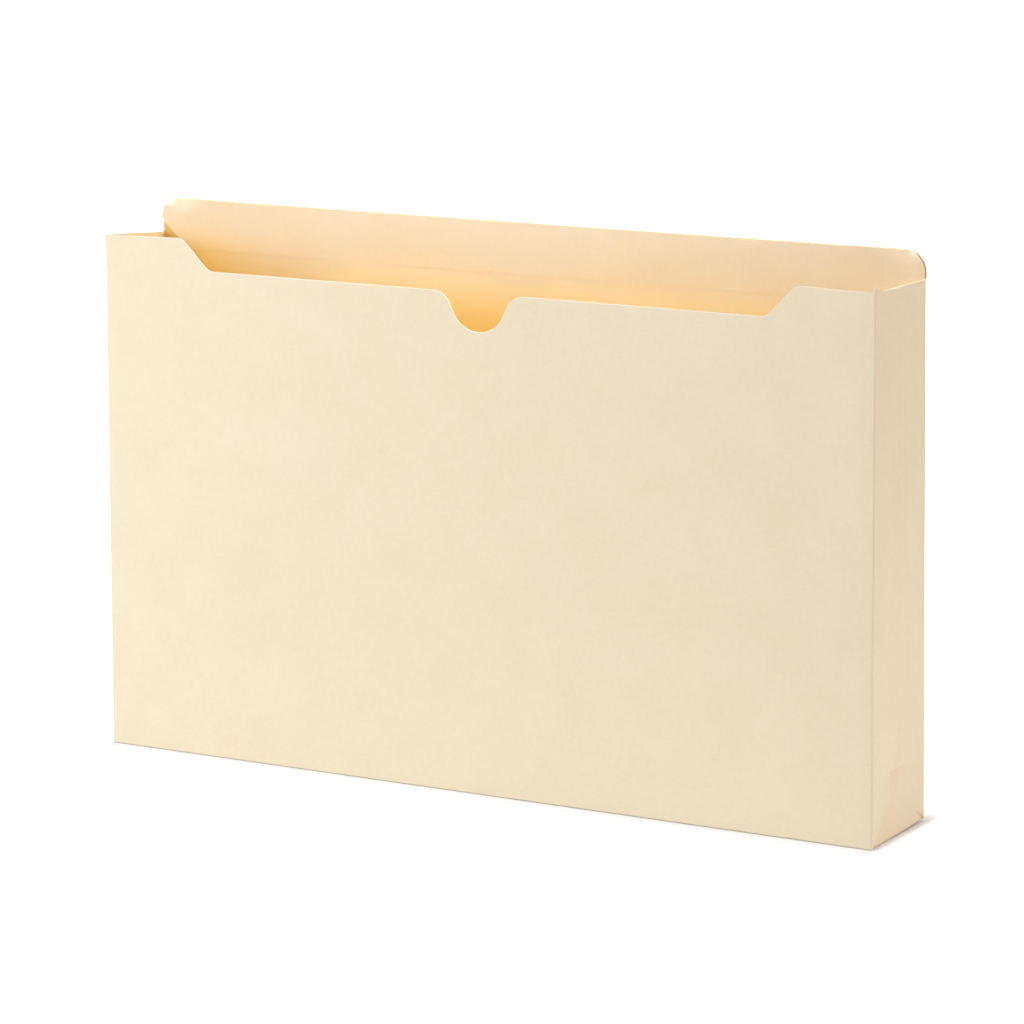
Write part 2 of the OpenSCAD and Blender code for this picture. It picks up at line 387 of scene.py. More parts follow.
def splitOutline(outline, levelsU, levelsV):
    gap = sheetGrid["pointGap"]
    points = []
    for i, a in enumerate(outline):
        b = outline[(i + 1) % len(outline)]
        shares = {0.0}
        for axis, grid in ((0, levelsU), (1, levelsV)):
            run = b[axis] - a[axis]
            if abs(run) > 1e-6:
                shares |= {(g - a[axis]) / run for g in grid}
        length = math.dist(a, b)
        last = -1.0
        for t in sorted(s for s in shares if 0 <= s < 1):
            if (t - last) * length > gap and (t == 0 or (1 - t) * length > gap):
                points.append((a[0] + (b[0] - a[0]) * t, a[1] + (b[1] - a[1]) * t))
                last = t
    return points


def insidePoints(points, outline, clear):
    p = np.array(points)
    a = np.array(outline)
    b = np.roll(a, -1, axis=0)
    crossings = np.zeros(len(p), int)
    nearest = np.full(len(p), 1e9)
    for (ax, ay), (bx, by) in zip(a, b):
        spans = (ay > p[:, 1]) != (by > p[:, 1])
        with np.errstate(divide="ignore", invalid="ignore"):
            cut = (bx - ax) * (p[:, 1] - ay) / (by - ay) + ax
        crossings += spans & (p[:, 0] < cut)
        d = np.array((bx - ax, by - ay))
        t = np.clip(((p - (ax, ay)) @ d) / max(d @ d, 1e-12), 0, 1)
        nearest = np.minimum(nearest, np.hypot(p[:, 0] - ax - t * d[0], p[:, 1] - ay - t * d[1]))
    return p[(crossings % 2 == 1) & (nearest > clear)]


def sheetMesh(name, outline, levelsU, levelsV, place, outward):
    band = sheetGrid["edgeBand"]
    border = splitOutline(outline, levelsU, levelsV)
    lattice = insidePoints([(u, v) for u in levelsU for v in levelsV], border, band * sheetGrid["gridHold"])
    ring = []
    for i, p in enumerate(border):
        q, r = border[i - 1], border[(i + 1) % len(border)]
        along = Vector((r[0] - q[0], r[1] - q[1])).normalized()
        ring.append((p[0] - along.y * band, p[1] + along.x * band))
    ring = insidePoints(ring, border, band * sheetGrid["bandHold"])
    flat = [Vector(p) for p in border] + [Vector(p) for p in ring] + [Vector(p) for p in lattice]
    points, _, faces, *_ = delaunay_2d_cdt(flat, [], [list(range(len(border)))], 1, 1e-5)
    rows = [place(p.x, p.y) for p in points]
    spots = [Vector(r["at"]) * mm for r in rows]
    normal = Vector()
    for f in faces:
        normal += (spots[f[1]] - spots[f[0]]).cross(spots[f[2]] - spots[f[0]])
    if normal.dot(Vector(outward)) < 0:
        faces = [tuple(reversed(f)) for f in faces]
    mesh = bpy.data.meshes.new(name)
    mesh.from_pydata(spots, [], faces)
    edgeOf = {tuple(round(c, 4) for c in p) for p in border}
    # slack and pressed shape the card; the other attributes hold painted shade, painted warm light and a
    # painted edge highlight
    for key in ("slack", "scoreShade", "shade", "glow", "paintedWarmth", "pressed", "paintedEdgeHighlight"):
        values = [r.get(key, 0.0) for r in rows]
        # the painted highlight stays on the cut edge's own points
        if key == "paintedEdgeHighlight":
            values = [v if (round(p.x, 4), round(p.y, 4)) in edgeOf else 0.0 for v, p in zip(values, points)]
        mesh.attributes.new(key, "FLOAT", "POINT").data.foreach_set("value", values)
    return mesh


def makeSheet(s, outline, levelsU, levelsV, place, outward):
    piece = bpy.data.objects.new(s["name"], sheetMesh(s["name"], outline, levelsU, levelsV, place, outward))
    bpy.context.scene.collection.objects.link(piece)
    piece.data.materials.append(s.get("inner", manilaInside))
    modifier = piece.modifiers.new("cardSheet", "NODES")
    modifier.node_group = cardTree
    settings = {
        "Thickness": s.get("thickness", card) * mm,
        "Wave Height": s.get("wave", 0.0) * mm,
        "Wave Length": s.get("waveLength", 130.0) * mm,
        "Seed": s.get("seed", 1.0),
        "Lean": jacket["lean"] * mm,
        "Bow": jacket["bow"] * mm,
        "Left Drop": jacket["leftDrop"] * mm,
        "Left Pinch": jacket["leftPinch"] * mm,
        "Right Pinch": jacket["rightPinch"] * mm,
        "Rear Lift": jacket["rearLift"] * mm,
        "Wave Axis": (0.0, 1.0, 0.0),
        "Outward": outward,
        "Outer Face": s.get("outer", manilaFace),
        "Inner Face": s.get("inner", manilaInside),
        "Cut Edge": s.get("edge", manilaEdge),
    }
    for socket in cardTree.interface.items_tree:
        if socket.in_out == "INPUT" and socket.name in settings:
            modifier[socket.identifier] = settings[socket.name]
    baked = bpy.data.meshes.new_from_object(piece.evaluated_get(bpy.context.evaluated_depsgraph_get()))
    piece.modifiers.clear()
    piece.data = baked
    baked.name = s["name"]
    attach(piece, s["body"])
    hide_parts(s["node"])
    if "flatten" in s:
        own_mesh(piece)


def arcPoints(centre, radius, start, end, count):
    steps = [math.radians(start + (end - start) * i / count) for i in range(count + 1)]
    return [(centre[0] + radius * math.cos(a), centre[1] + radius * math.sin(a)) for a in steps]


def roundedCorner(before, corner, after, radius, count=8):
    c = Vector(corner)
    u = (Vector(before) - c).normalized()
    v = (Vector(after) - c).normalized()
    half = u.angle(v) / 2
    centre = c + (u + v).normalized() * radius / math.sin(half)
    a, b = c + u * radius / math.tan(half) - centre, c + v * radius / math.tan(half) - centre
    start = math.atan2(a.y, a.x)
    turn = math.remainder(math.atan2(b.y, b.x) - start, math.tau)
    return arcPoints(centre, radius, math.degrees(start), math.degrees(start + turn), count)


def mirrored(points):
    return [(-x, z) for x, z in reversed(points)]


def boxOutline(u0, v0, u1, v1):
    return [(u0, v0), (u1, v0), (u1, v1), (u0, v1)]


# What the big panels share: their rolled creases, and the warmth of the pocket's walls

sideArc = sideCrease * math.pi / 2
baseArc = baseCrease * math.pi / 2
sideStart = halfWidth - sideCrease
sideEnd = sideStart + sideArc
baseEnd = baseCrease - baseArc
creaseEdgeY = halfDepth - sideCrease

creaseScoreShade = {
    "depth": 0.10,          # how strongly the score line shows: pressed fibres, darkened with painted shade in the crease
    "angle": 0.75,          # where on the bend it lies, in radians, and how wide it is
    "width": 0.4,
    "baseShare": 0.4,       # how much of it shows along the base
}
pocketGlow = {
    "top": 224.0,           # the painted warm light starts here, and is full this far below
    "depth": 34.0,
    "fade": 0.7,            # the share of it that is lost again further down
    "fadeTop": 185.0,
    "fadeDepth": 50.0,
    "left": 0.7,            # more of it behind the left side, as painted shade where that side shades the back
    "leftX": -115.0,
    "leftWidth": 60.0,
    "leftTop": 232.0,
    "leftDepth": 16.0,
}


def scoreAt(angle):
    s = creaseScoreShade
    return s["depth"] * math.exp(-((angle - s["angle"]) / s["width"]) ** 2)


def glowAt(x, z):
    # the card is painted warmer deeper in the pocket, for the light that passes through it and between its
    # walls
    s = pocketGlow
    deep = smooth((s["top"] - z) / s["depth"]) * (1 - s["fade"] * smooth((s["fadeTop"] - z) / s["fadeDepth"]))
    shaded = s["left"] * smooth((s["leftX"] - x) / s["leftWidth"])
    return min(1.0, deep + shaded * smooth((s["leftTop"] - z) / s["leftDepth"]))


def panelSpot(u, v, side, bend):
    # a point on a big panel's inner surface: side is 1 for the back and -1 for the front, bend from 0 to 1
    reach = sideCrease - card
    turn = max(0.0, abs(u) - sideStart) / sideCrease
    x, y, z = abs(u), wallY, v
    scoreShade = 0.0
    if turn > 0:
        bentX = sideStart + reach * math.sin(turn)
        bentY = wallY - reach * (1 - math.cos(turn))
        x += (bentX - x) * bend
        y += (bentY - y) * bend
        # score line along the upright crease, darkened with painted shade
        scoreShade = scoreAt(turn) * bend
    dip = max(0.0, baseCrease - v) / baseCrease
    if dip > 0:
        z = baseCrease - (baseCrease - card) * math.sin(dip)
        y -= (baseCrease - card) * (1 - math.cos(dip))
        scoreShade = max(scoreShade, creaseScoreShade["baseShare"] * scoreAt(dip))
    slack = smooth((halfWidth - abs(u)) / heldWidth) * smooth(v / heldWidth)
    return {"at": (math.copysign(x, u), side * y, z), "slack": slack, "scoreShade": scoreShade, "glow": glowAt(u, v)}


panelLevelsU = (levels(-sideStart, sideStart, sheetGrid["panelStep"])
                + bendLevels(sideStart, sideArc)[1:] + [-u for u in bendLevels(sideStart, sideArc)[1:]])
panelLevelsV = bendLevels(baseEnd, baseArc)[:-1] + levels(baseCrease, tabHeight, sheetGrid["panelStep"])


# Front panel: shoulders, slopes, cut-down edge and thumb cut; its side and bottom edges roll into the creases

frontSheet = {
    "name": "frontSheet", "node": "front_panel", "body": "front",
    "shoulder": (148.425, 229.3),
    "slopeFoot": (134.725, 215.64),
    "slopeRounding": 6.0,
    "cutShift": 1.3,        # the cut-down edge sits this far right of the middle
    "thumb": {"centreZ": 212.5, "radius": 13.35, "flareX": 22.132, "flareZ": 206.34, "flareRadius": 9.3},
    # the right crease stands above the edge and falls away along the side (peak, foot: shares of the bend)
    "ear": {"height": 3.0, "length": 7.5, "drop": 0.3, "peak": 0.5, "foot": 0.2},
    "edgeShine": 1.0,
    "shineFrom": 190.0,     # the painted highlight along the cut edge runs above this height, up to the panel's very ends
    "shineEnd": 0.01,
    "wave": 0.5, "waveLength": 150.0, "seed": 3.0,
    "flatten": {"axis": (0, 1, 0), "anchor": (0, -halfDepth, 0), "keep": 0.03},
}


def frontTop(s):
    t = s["thumb"]
    foot, shoulder = s["slopeFoot"], s["shoulder"]
    points = roundedCorner((halfWidth, sideHeight), shoulder, foot, s["slopeRounding"])
    points += roundedCorner(shoulder, foot, (0, foot[1]), s["slopeRounding"])
    share = t["radius"] / (t["radius"] + t["flareRadius"])
    meet = (t["flareX"] * share, t["centreZ"] + (t["flareZ"] - t["centreZ"]) * share)
    flareEnd = math.degrees(math.atan2(meet[1] - t["flareZ"], meet[0] - t["flareX"]))
    points += arcPoints((t["flareX"], t["flareZ"]), t["flareRadius"], 90, flareEnd, 12)
    thumbStart = math.degrees(math.atan2(meet[1] - t["centreZ"], meet[0]))
    points += arcPoints((0, t["centreZ"]), t["radius"], thumbStart, -90, 16)[1:]
    points = [(x + s["cutShift"], z) for x, z in points + mirrored(points)[1:]]
    ear = s["ear"]
    tip = sideHeight + ear["height"]
    right = [(sideEnd, tip - ear["drop"]), (sideStart + ear["peak"] * sideArc, tip),
             (sideStart + ear["foot"] * sideArc, sideHeight)]
    return right + points + [(-sideEnd, sideHeight)]


def frontPlace(u, v):
    s = frontSheet
    spot = panelSpot(u, v, -1, 1.0)
    shines = v > s["shineFrom"] and abs(u) < sideEnd - s["shineEnd"]
    spot["paintedEdgeHighlight"] = s["edgeShine"] if shines else 0.0
    return spot


outline = [(-sideEnd, baseEnd), (sideEnd, baseEnd)] + frontTop(frontSheet)
makeSheet(frontSheet, outline, panelLevelsU, panelLevelsV, frontPlace, (0, -1, 0))
print("front panel made")


# Back panel with its tab, and the ply folded over inside the tab

backCard = {                # the panel, the ply and the glue between them wave as one, and share one set of flattening settings
    "body": "back",
    "wave": 0.5, "waveLength": 150.0, "seed": 5.0,
    "flatten": {"axis": (0, 1, 0), "anchor": (0, halfDepth, 0), "keep": 0.03},
}
backSheet = {
    **backCard, "name": "backSheet", "node": "back_panel",
    "tabRounding": 9.5,
    "rightTop": sideHeight,
    "leftTop": 224.8,       # the left side stands a little lower
    "straighten": 1.5,      # above the sides the creases straighten over this height
    # strength of the painted highlight along the cut edge
    "edgeShine": 0.3,
    "cornerBase": 205.0,    # the corners behind the ply's ends are painted with warm light and golden shade from here up
    "cornerRise": 15.0,
    "glowX": 171.0,
    "glowWidth": 12.0,
    "shade": 0.40,          # depth of that painted golden shade
    "shadeX": 168.0,
    "shadeWidth": 14.0,
    "thumbShade": 0.12,     # and of the painted shade on the band that the thumb cut shows
    "bandTop": 210.0,
    "bandFade": 16.0,
    "bandBase": 140.0,
    "bandRise": 45.0,
    "foldRadius": 0.305,
}
tabFold = tabHeight - backSheet["foldRadius"]
foldTop = tabFold + backSheet["foldRadius"] * math.pi


def backPlace(u, v):
    s = backSheet
    top = s["rightTop"] if u > 0 else s["leftTop"]
    spot = panelSpot(u, v, 1, 1 - smooth((v - top) / s["straighten"]))
    spot["paintedEdgeHighlight"] = s["edgeShine"] if v > top else 0.0
    # painted warm light and painted golden shade behind the ply's ends, and painted shade on the band behind
    # the thumb cut
    high = smooth((v - s["cornerBase"]) / s["cornerRise"])
    spot["glow"] = max(spot["glow"], smooth((abs(u) - s["glowX"]) / s["glowWidth"]) * high)
    spot["shade"] = s["shade"] * smooth((abs(u) - s["shadeX"]) / s["shadeWidth"]) * high
    band = s["thumbShade"] * smooth((s["bandTop"] - v) / s["bandFade"])
    spot["shade"] += band * smooth((v - s["bandBase"]) / s["bandRise"])
    return spot


def tabCorner(s):
    r = s["tabRounding"]
    return arcPoints((halfWidth - r, tabHeight - r), r, 0, 90, 14)


def backEdge(s, top):
    corner = [(x, min(z, tabFold)) for x, z in tabCorner(s)[:-2]]
    corner += [(halfWidth - s["tabRounding"], tabFold)]
    return [(sideEnd, top), (halfWidth, top + s["straighten"])] + corner


outline = [(-sideEnd, baseEnd), (sideEnd, baseEnd)] + backEdge(backSheet, backSheet["rightTop"])
outline += mirrored(backEdge(backSheet, backSheet["leftTop"]))
makeSheet(backSheet, outline, panelLevelsU, panelLevelsV, backPlace, (0, 1, 0))

tabPly = {
    **backCard, "name": "tabPly", "node": "tab_ply",
    "lowerEdge": 217.9,
    "taperX": 173.0,
    "rightTaperTop": 228.6,
    "leftTaperTop": 230.9,
    "rightInset": 0.5,      # how far the ends stop short of the back's, or stand past them
    "leftInset": -0.25,
    "insetFrom": 150.0,
    "insetWidth": 37.0,
    "rightStandOff": 0.8,   # the ends of the ply spring away from the back
    "leftStandOff": 1.7,
    "springFrom": 166.0,
    "springTop": 3.0,       # over this height below the fold they are held
    "sink": 0.10,           # the lower edge is pressed into the glue, so that its step is faint
    "sinkHeight": 8.0,
    "foldShade": 0.3,       # painted shade makes the folded top a little deeper in colour
    "foldBand": 0.8,
    # strength of the painted highlight along the cut edge, and the height where it starts
    "edgeShine": 0.4,
    "shineFrom": 231.0,
    "stepU": 6.0,
    "stepV": 3.5,
    "outer": manilaInside,
}


def tabPlace(u, v):
    s = tabPly
    r = backSheet["foldRadius"]
    middle = halfDepth - r
    turn = max(0.0, v - tabFold) / r
    y, z = middle - (r - card) * math.cos(turn), v
    if turn > 0:
        z = tabFold + (r - card) * math.sin(turn)
    free = smooth((abs(u) - s["springFrom"]) / (halfWidth - s["springFrom"]))
    free *= smooth((tabFold - v) / s["springTop"])
    pressed = s["sink"] * (1 - smooth((v - s["lowerEdge"]) / s["sinkHeight"])) * (1 - free)
    end = "right" if u > 0 else "left"
    inset = s[end + "Inset"] * smooth((abs(u) - s["insetFrom"]) / s["insetWidth"])
    return {
        "at": (u - math.copysign(inset, u), y - s[end + "StandOff"] * free + pressed, z),
        "slack": smooth((halfWidth - abs(u)) / heldWidth),
        "shade": s["foldShade"] * smooth((v - tabFold + s["foldBand"]) / s["foldBand"]),
        "paintedEdgeHighlight": s["edgeShine"] if s["shineFrom"] < v < tabFold else 0.0,
        "glow": glowAt(u, v),
    }


def tabEdge(s, taperTop):
    head = tabCorner(backSheet) + [(halfWidth - backSheet["tabRounding"], foldTop)]
    return [(s["taperX"], s["lowerEdge"]), (halfWidth, taperTop)] + head


outline = tabEdge(tabPly, tabPly["rightTaperTop"]) + mirrored(tabEdge(tabPly, tabPly["leftTaperTop"]))
tabLevelsU = levels(-halfWidth, halfWidth, tabPly["stepU"])
tabLevelsV = levels(tabPly["lowerEdge"], tabFold - tabPly["foldBand"], tabPly["stepV"])
tabLevelsV += bendLevels(tabFold, foldTop - tabFold)
makeSheet(tabPly, outline, tabLevelsU, tabLevelsV, tabPlace, (0, -1, 0))

tabGlue = {
    **backCard, "name": "tabGlue", "node": "tab_glue", "slot": "dried_glue",
    "halfLength": 163.8, "low": 219.4, "high": 239.3, "thickness": 0.04, "bed": 0.005, "step": 8.0,
    "outer": driedGlue, "inner": driedGlue, "edge": driedGlue,
}


def tabGluePlace(u, v):
    return {"at": (u, wallY - tabGlue["bed"], v), "slack": smooth((halfWidth - abs(u)) / heldWidth)}


outline = boxOutline(-tabGlue["halfLength"], tabGlue["low"], tabGlue["halfLength"], tabGlue["high"])
makeSheet(tabGlue, outline, levels(-tabGlue["halfLength"], tabGlue["halfLength"], tabGlue["step"]),
          levels(tabGlue["low"], tabGlue["high"], tabGlue["step"]), tabGluePlace, (0, -1, 0))
print("back panel and tab made")


# Bottom gusset: two halves that meet in the centre crease, their ends rolled up into the end flaps

bottomHalf = {
    "endX": 186.715,
    "endRounding": 0.9,
    "mark": 0.3,            # depth and width of the centre crease's score line, darkened with painted shade
    "markWidth": 0.6,
    "markLevels": (0.6, 1.4),   # extra grid lines beside it
    # painted warm light on the rolled ends
    "endBlush": 0.3,
    "stepU": 10.0,
    "stepV": 6.0,
    "flatten": {"axis": (0, 0, 1), "anchor": (0, 0, card / 2), "keep": 0.03},
}
bottomStart = bottomHalf["endX"] - bottomHalf["endRounding"]


def bottomPlace(u, v):
    s = bottomHalf
    r = s["endRounding"]
    turn = max(0.0, abs(u) - bottomStart) / r
    x, z = abs(u), card
    if turn > 0:
        x = bottomStart + (r - card) * math.sin(turn)
        z = r - (r - card) * math.cos(turn)
    # score line with painted shade along the centre crease, painted warm light inside, painted warm light on
    # the rolled ends
    return {"at": (math.copysign(x, u), v, z), "scoreShade": s["mark"] * math.exp(-(v / s["markWidth"]) ** 2),
            "glow": 1.0, "paintedWarmth": s["endBlush"] * smooth(turn)}


endLevels = bendLevels(bottomStart, bottomHalf["endRounding"] * math.pi / 2)
bottomLevelsU = (levels(-bottomStart, bottomStart, bottomHalf["stepU"])
                 + endLevels[1:] + [-u for u in endLevels[1:]])
for name, node, body, low, high in (
    ("bottomRear", "bottom_rear", "bottom_rear_half", 0.0, halfDepth - baseCrease),
    ("bottomFront", "bottom_front", "bottom_front_half", baseCrease - halfDepth, 0.0),
):
    settings = dict(bottomHalf, name=name, node=node, body=body)
    nearCrease = [math.copysign(d, low + high) for d in bottomHalf["markLevels"]]
    makeSheet(settings, boxOutline(-endLevels[-1], low, endLevels[-1], high), bottomLevelsU,
              sorted(levels(low, high, bottomHalf["stepV"]) + nearCrease), bottomPlace, (0, 0, -1))
print("bottom gusset made")


# Side gussets: outer ply in front, inner ply behind, lapped and glued at the centre crease

sidePlies = {
    "outerX": 187.045,      # inner faces of the plies, from outside inwards
    "innerX": 186.715,
    "endFlapX": 186.435,
    "windowY": -10.2,
    "windowTop": 29.3,
    "mitreSlope": 1.15,
    "rearSlope": 0.79,
    "lapBase": 13.4,
    "lapTop": 5.1,
    "innerLap": 9.6,
    "lapRoom": 1.5,         # the inner ply is at its full depth this far behind the outer one's free edge
    "creaseRoom": 1.0,      # and starts to sink this far before the back crease
    "valley": 0.06,         # depth of the centre crease
    "valleyWidth": 1.3,
    "bulge": 0.25,          # the outer ply springs out beside the front crease
    "bulgeWidth": 9.0,
    "leftFall": 3.8,        # the left side's top falls by this much towards the back
    # strength of the painted highlight along the top edges, and its depth
    "edgeShine": 0.8,
    "shineDepth": 0.05,
    "glowTop": 225.0,       # the inner faces are painted with full warm light this far below here
    "glowDepth": 20.0,
    "innerGlow": 0.6,
    "leftShade": 0.15,      # painted golden shade on the left side's inner face along its top
    "shadeBase": 200.0,
    "shadeRise": 20.0,
    "mark": 0.03,           # depth and width of the centre crease's score line, darkened with painted shade
    "markWidth": 0.7,
    "pressDepth": 0.95,     # share of the card's thickness that its free edges lose
    "pressWidth": 4.0,      # over this width
    "mitreAcross": 0.78,    # turns a height above the rear mitre into a distance from it
    "spring": 0.4,          # the window's upper corner springs out a little
    "springWidth": 5.0,
    "springHeight": 6.0,
    "flapInset": 0.43,      # the end flaps stop this far short of the big panels
    "endFlapTop": 38.0,
    "pleatFoot": 0.9,
    "pleatX": 186.57,       # the line along which the pleats fold flat
}
# painted warm shade in the recess at the foot of each side
recess = {
    "paintedWarmth": 0.18,          # painted warm shade in the recess seen through the window
    "softTop": 0.5,
    "softDepth": 1.0,
    "loss": 0.8,            # the share of it that is lost towards the back
    "lossFrom": -6.0,
    "lossWidth": 30.0,
    "cornerBlush": 0.45,    # painted soft shade under the window's upper corner
    "cornerHeight": 1.3,
    "cornerWidth": 22.0,
    "heelPaintedShade": 0.5,       # painted warm shade in the corner at the back of the base
    "heelZ": 1.0,
    "heelArea": 9.0,
}
sideGlue = {
    "slot": "dried_glue", "outer": driedGlue, "inner": driedGlue, "edge": driedGlue, "thickness": 0.03,
    "bed": 0.04,            # how far inside the outer ply the film lies
    "planeX": 0.16,         # and its plane, past the inner ply, when it is pressed flat
    "margin": 1.5,
    "topMargin": 5.0,
    "creaseMargin": 0.1,
}
sideGrid = {
    "upright": 8.0,         # grid steps along the height, and across each ply
    "foot": 3.0,
    "outer": 3.0,
    "inner": 2.0,
    "innerLap": 2.5,
    "glue": 2.0,
    "flap": 3.0,
    "footStart": 0.4,
    "belowTop": (0.6, 3.4),         # extra grid lines under the top, under the window's top, in the ear
    "belowWindow": (0.7, 1.6),
    "aboveTop": 1.5,
    "besideCrease": (0.8, 1.6),     # and on each side of the centre crease
}


def freeEdge(z):
    s = sidePlies
    return s["lapBase"] + (s["lapTop"] - s["lapBase"]) * (z - s["windowTop"]) / (sideHeight - s["windowTop"])


def valleyAt(y):
    s = sidePlies
    return s["valley"] * math.exp(-(y / s["valleyWidth"]) ** 2)


def outerPlyX(y):
    s = sidePlies
    along = (y + creaseEdgeY) / s["bulgeWidth"]
    bulge = s["bulge"] * math.sin(math.pi * min(1.0, max(0.0, along))) ** 2
    return s["outerX"] + bulge - valleyAt(y)


def innerPlyX(y, z):
    # level with the outer ply at the back crease, and one ply deeper where the outer ply laps over it
    s = sidePlies
    step = s["outerX"] - s["innerX"]
    room = creaseEdgeY - s["creaseRoom"] - (freeEdge(z) + s["lapRoom"])
    deep = smooth((creaseEdgeY - s["creaseRoom"] - y) / room)
    return s["outerX"] - step * deep - valleyAt(y)


def springAt(y, z):
    s = sidePlies
    above = max(0.0, z - s["windowTop"])
    along = math.exp(-((y - s["windowY"]) / s["springWidth"]) ** 2)
    return s["spring"] * along * math.exp(-(above / s["springHeight"]) ** 2)


def pressedAt(distance):
    return sidePlies["pressDepth"] * (1 - smooth(distance / sidePlies["pressWidth"]))


def paintedRecessShade(y, z):
    s = recess
    windowY, windowTop = sidePlies["windowY"], sidePlies["windowTop"]
    below = smooth((windowTop + s["softTop"] - z) / s["softDepth"])
    below *= 1 - s["loss"] * smooth((y - s["lossFrom"]) / s["lossWidth"])
    corner = math.exp(-abs(windowTop - z) / s["cornerHeight"])
    corner *= 1 - smooth((y - windowY) / s["cornerWidth"])
    heel = math.exp(-((wallY - y) ** 2 + (z - s["heelZ"]) ** 2) / s["heelArea"])
    return s["paintedWarmth"] * below + s["cornerBlush"] * corner + s["heelPaintedShade"] * heel


def creaseMark(y):
    return sidePlies["mark"] * math.exp(-(y / sidePlies["markWidth"]) ** 2)


def frontMitre(y):
    return jacket["mitreFoot"] + (y + wallY) * sidePlies["mitreSlope"]


def rearMitre(y):
    return jacket["mitreFoot"] + (wallY - y) * sidePlies["rearSlope"]


def sideTop(sign, y):
    return sideHeight if sign > 0 else sideHeight - sidePlies["leftFall"] * (y + halfDepth) / (2 * halfDepth)


def earTop(sign, y):
    ear = frontSheet["ear"]
    share = max(0.0, 1 - (y + creaseEdgeY) / ear["length"]) if sign > 0 else 0.0
    return sideTop(sign, y) + (ear["height"] - ear["drop"]) * share


def makeSide(sign, label):
    s = sidePlies
    grid = sideGrid
    frontBody, rearBody = label + "_front_half", label + "_rear_half"
    windowTop = s["windowTop"]
    upright = levels(windowTop, sideHeight, grid["upright"]) + [sideHeight - d for d in grid["belowTop"]]
    foot = levels(grid["footStart"], windowTop, grid["foot"]) + [windowTop - d for d in grid["belowWindow"]]
    full = foot + upright[1:]
    behindCrease = list(grid["besideCrease"])
    beforeCrease = [-d for d in reversed(behindCrease)]

    # painted warm light on the inner faces, painted golden shade along the left side's top, and a painted
    # highlight along the top edges
    def warmth(z):
        return max(glowAt(-halfWidth, z), smooth((s["glowTop"] - z) / s["glowDepth"]))

    def shadeAt(z):
        return s["leftShade"] * smooth((z - s["shadeBase"]) / s["shadeRise"]) if sign < 0 else 0.0

    def shineAt(z, top):
        return s["edgeShine"] if z > top - s["shineDepth"] else 0.0

    def onOuter(y, z):
        return {"at": (sign * (outerPlyX(y) + springAt(y, z)), y, z), "scoreShade": creaseMark(y),
                "paintedEdgeHighlight": shineAt(z, earTop(sign, y)), "pressed": pressedAt(freeEdge(z) - y),
                "glow": warmth(z), "shade": shadeAt(z)}

    def onInner(y, z):
        return {"at": (sign * innerPlyX(y, z), y, z), "scoreShade": creaseMark(y),
                "paintedEdgeHighlight": shineAt(z, sideTop(sign, y)),
                "pressed": pressedAt(s["mitreAcross"] * (z - rearMitre(y))),
                "glow": s["innerGlow"] * warmth(z), "shade": shadeAt(z), "paintedWarmth": paintedRecessShade(y, z)}

    def onEndFlap(y, z):
        return {"at": (sign * s["endFlapX"], y, z), "glow": 1.0, "paintedWarmth": paintedRecessShade(y, z)}

    def onGlue(y, z):
        return {"at": (sign * (outerPlyX(y) - sideGlue["bed"]), y, z)}

    def side(name, node, body, outline, levelsU, levelsV, place, plane, **more):
        pressed = {"axis": (1, 0, 0), "anchor": (sign * (plane + card / 2), 0, 0), "keep": 0.03}
        settings = dict({"flatten": pressed}, name=label + name, node=f"{label}_{node}", body=body)
        settings.update(more)
        makeSheet(settings, outline, levelsU, levelsV, place, (sign, 0, 0))

    front = -creaseEdgeY
    ridge = [(y, earTop(sign, y)) for y in (0.0, front + frontSheet["ear"]["length"], front)]
    outline = [(front, frontMitre(front)), (s["windowY"], frontMitre(s["windowY"])),
               (s["windowY"], windowTop), (0.0, windowTop)] + ridge
    side("FrontFlap", "front_flap", frontBody, outline, levels(front, 0.0, grid["outer"]) + beforeCrease,
         full + [sideHeight + grid["aboveTop"]], onOuter, s["outerX"])

    outline = [(0.0, windowTop), (s["lapBase"], windowTop),
               (s["lapTop"], sideTop(sign, s["lapTop"])), (0.0, sideTop(sign, 0))]
    side("FrontLap", "front_lap", rearBody, outline, levels(0.0, s["lapBase"], grid["outer"]) + behindCrease,
         upright, onOuter, s["outerX"])

    outline = [(0.0, rearMitre(0)), (creaseEdgeY, rearMitre(creaseEdgeY)),
               (creaseEdgeY, sideTop(sign, creaseEdgeY)), (0.0, sideTop(sign, 0))]
    side("RearFlap", "rear_flap", rearBody, outline, levels(0.0, creaseEdgeY, grid["inner"]) + behindCrease,
         full, onInner, s["innerX"])

    lap = -s["innerLap"]
    outline = [(lap, rearMitre(lap)), (0.0, rearMitre(0)), (0.0, sideTop(sign, 0)), (lap, sideTop(sign, lap))]
    side("RearLap", "rear_lap", frontBody, outline, levels(lap, 0.0, grid["innerLap"]) + beforeCrease,
         full, onInner, s["innerX"])

    margin, inset = sideGlue["margin"], sideGlue["creaseMargin"]
    low, high = windowTop + margin, sideHeight - sideGlue["topMargin"]
    glueLevels = levels(low, high, grid["upright"])
    gluePlane = s["innerX"] + sideGlue["planeX"]
    glue = {key: sideGlue[key] for key in ("slot", "outer", "inner", "edge", "thickness")}
    side("FrontGlue", "front_glue", frontBody, boxOutline(lap + margin, low, -margin, high),
         levels(lap + margin, -margin, grid["glue"]), glueLevels, onGlue, gluePlane, **glue)
    outline = [(inset, low), (s["lapBase"] - margin, low), (s["lapTop"] - margin, high), (inset, high)]
    side("RearGlue", "rear_glue", rearBody, outline, levels(inset, s["lapBase"], grid["glue"]), glueLevels,
         onGlue, gluePlane, **glue)

